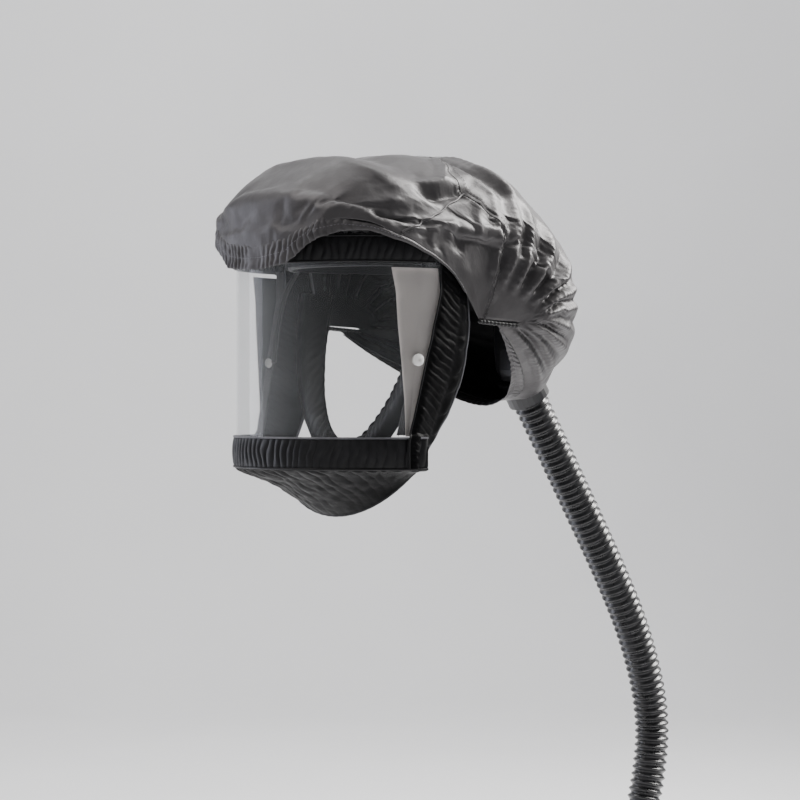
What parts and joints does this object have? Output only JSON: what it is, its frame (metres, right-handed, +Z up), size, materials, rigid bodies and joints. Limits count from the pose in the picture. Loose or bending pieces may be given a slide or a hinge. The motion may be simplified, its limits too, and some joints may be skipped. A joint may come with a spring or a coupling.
{
  "type": "powered air respirator",
  "caption": "Loose-fitting respirator hood with a curved clear visor on a ratchet headband, a corrugated breathing hose and a belt-mounted blower with filters and a battery.",
  "frame": {"origin": "centre of the headband at brow height, where the wearer's head holds the hood", "axes": "+Z up, the wearer faces -Y, and +X is to the wearer's left"},
  "size_m": [0.3222, 0.4976, 0.8507],
  "materials": {
    "coated_nylon": "coated nylon with a satin sheen",
    "black_elastic": "black elasticated fabric",
    "clear_visor": "clear flexible visor film",
    "grey_shade": "opaque pale grey film",
    "white_stud": "white plastic",
    "black_plastic": "moulded black plastic",
    "foam": "dark open-cell foam",
    "grey_webbing": "woven webbing",
    "black_rubber": "black rubber, semi-gloss",
    "blower_case": "charcoal moulded plastic, fine texture",
    "green_button": "soft-touch green",
    "grey_button": "soft-touch grey",
    "lamp_lens": "frosted clear plastic",
    "green_board": "printed circuit board",
    "steel": "turned steel",
    "impeller_grey": "moulded grey plastic",
    "filter_case": "grey moulded plastic",
    "battery_case": "charcoal moulded plastic",
    "red_latch": "red plastic",
    "belt_webbing": "black woven webbing"
  },
  "bodies": {
    "hood_and_blower": {"crown_panel": "coated_nylon", "rear_panel": "coated_nylon", "brim_hem": "black_elastic", "nape_hem": "black_elastic", "visor_top_band": "black_elastic", "visor_bottom_band": "black_elastic", "visor_side_band_left": "black_elastic", "visor_side_band_right": "black_elastic", "chin_skirt": "black_elastic", "face_seal": "black_elastic", "visor_surround": "black_elastic", "visor_lens": "clear_visor", "side_shade_left": "grey_shade", "side_shade_right": "grey_shade", "shade_stud_left": "white_stud", "shade_stud_right": "white_stud", "front_headband": "black_plastic", "visor_arm_left": "black_plastic", "visor_arm_right": "black_plastic", "air_duct": "black_plastic", "hose_inlet_collar": "black_plastic", "outlet_spigot": "black_plastic", "volute": "black_plastic", "buckle_socket": "black_plastic", "brow_pad": "foam", "air_diffuser": "foam", "comfort_pad": "foam", "crown_strap_cross": "grey_webbing", "crown_strap_front": "grey_webbing", "breathing_hose": "black_rubber", "hose_upper_cuff": "black_rubber", "hose_lower_cuff": "black_rubber", "filter_gasket_left": "black_rubber", "filter_gasket_right": "black_rubber", "blower_back_shell": "blower_case", "blower_front_shell": "blower_case", "status_lens": "lamp_lens", "circuit_board": "green_board", "blower_motor": "steel", "belt_back": "belt_webbing", "belt_right": "belt_webbing"},
    "rear_fit": {"rear_headband": "black_plastic", "ratchet_housing": "black_plastic", "crown_strap_rear": "grey_webbing"},
    "ratchet_knob": {"ratchet_knob": "black_plastic"},
    "lock_ring": {"hose_lock_ring": "black_plastic"},
    "rotor": {"impeller": "impeller_grey", "motor_shaft": "steel"},
    "filter_left": {"filter_left": "filter_case", "filter_cover_left": "black_plastic"},
    "filter_right": {"filter_right": "filter_case", "filter_cover_right": "black_plastic"},
    "battery": {"battery_pack": "battery_case"},
    "battery_latch": {"battery_latch": "red_latch"},
    "power_button": {"power_button": "green_button"},
    "speed_button": {"speed_button": "grey_button"},
    "belt_left": {"belt_left": "belt_webbing", "buckle_tongue": "black_plastic", "belt_adjuster": "black_plastic"},
    "buckle_button": {"buckle_button": "red_latch"}
  },
  "joints": [
    {"name": "rear_band_slide", "type": "slide", "parent": "hood_and_blower", "child": "rear_fit", "axis": [0, 1, 0], "range_m": [-0.006, 0.006]},
    {"name": "ratchet_knob_turn", "type": "hinge", "parent": "rear_fit", "child": "ratchet_knob", "pos_m": [0, 0.1176, -0.001], "axis": [0, 1, 0], "range_deg": [-135, 135]},
    {"name": "lock_ring_turn", "type": "hinge", "parent": "hood_and_blower", "child": "lock_ring", "pos_m": [0, 0.3, -0.612], "axis": [0, 0, 1], "range_deg": [0, 30]},
    {"name": "impeller_spin", "type": "hinge", "parent": "hood_and_blower", "child": "rotor", "pos_m": [0, 0.305, -0.672], "axis": [0, 1, 0], "continuous": true},
    {"name": "filter_left_twist", "type": "hinge", "parent": "hood_and_blower", "child": "filter_left", "pos_m": [0.0871, 0.3, -0.675], "axis": [1, 0, 0], "range_deg": [0, 60]},
    {"name": "filter_right_twist", "type": "hinge", "parent": "hood_and_blower", "child": "filter_right", "pos_m": [-0.0871, 0.3, -0.675], "axis": [-1, 0, 0], "range_deg": [0, 60]},
    {"name": "battery_slide", "type": "slide", "parent": "hood_and_blower", "child": "battery", "axis": [1, 0, 0], "range_m": [0, 0.11]},
    {"name": "battery_latch_press", "type": "slide", "parent": "battery", "child": "battery_latch", "axis": [0, -1, 0], "range_m": [0, 0.0015], "stiffness_N_per_m": 600},
    {"name": "power_button_press", "type": "slide", "parent": "hood_and_blower", "child": "power_button", "axis": [0, -1, 0], "range_m": [0, 0.0012], "stiffness_N_per_m": 600},
    {"name": "speed_button_press", "type": "slide", "parent": "hood_and_blower", "child": "speed_button", "axis": [0, -1, 0], "range_m": [0, 0.0012], "stiffness_N_per_m": 600},
    {"name": "buckle_release", "type": "slide", "parent": "hood_and_blower", "child": "belt_left", "axis": [1, 0, 0], "range_m": [0, 0.03]},
    {"name": "buckle_button_press", "type": "slide", "parent": "hood_and_blower", "child": "buckle_button", "axis": [0, 1, 0], "range_m": [0, 0.0012], "stiffness_N_per_m": 600}
  ],
  "couplings": [
    {"joint": "ratchet_knob_turn", "follows": "rear_band_slide", "rad_per_m": 390}
  ]
}
